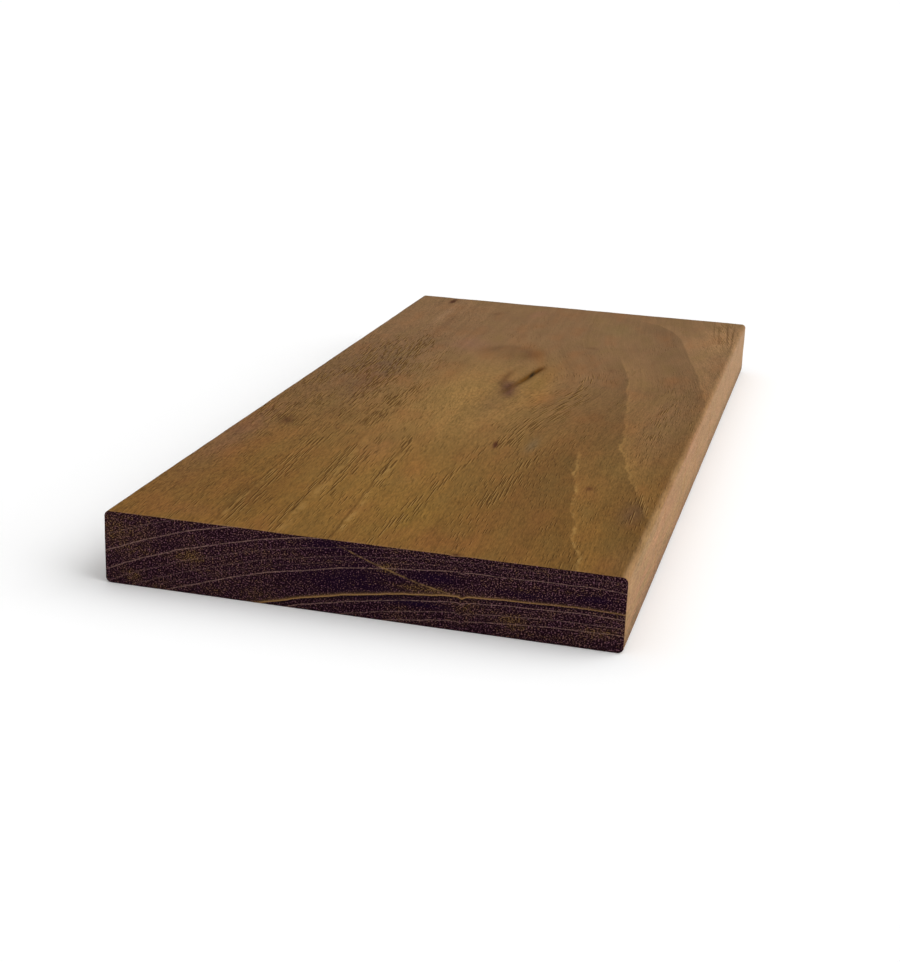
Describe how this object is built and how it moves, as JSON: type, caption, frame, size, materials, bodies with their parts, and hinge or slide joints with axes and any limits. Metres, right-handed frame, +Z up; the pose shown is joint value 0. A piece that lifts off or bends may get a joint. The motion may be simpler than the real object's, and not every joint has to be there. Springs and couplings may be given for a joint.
{
  "type": "jatoba board",
  "caption": "Short planed jatoba hardwood board with eased long edges and square crosscut ends, laid flat for decking, shelving or trim.",
  "frame": {"origin": "middle of the underside, on the surface that the board lies on", "axes": "+X across the width, +Y along the grain towards the far end, +Z up out of the face"},
  "size_m": [0.145, 0.32, 0.021],
  "materials": {
    "jatoba": "planed and oiled heartwood, satin face, dark open end grain"
  },
  "bodies": {
    "root": {"board": "jatoba"}
  },
  "joints": []
}
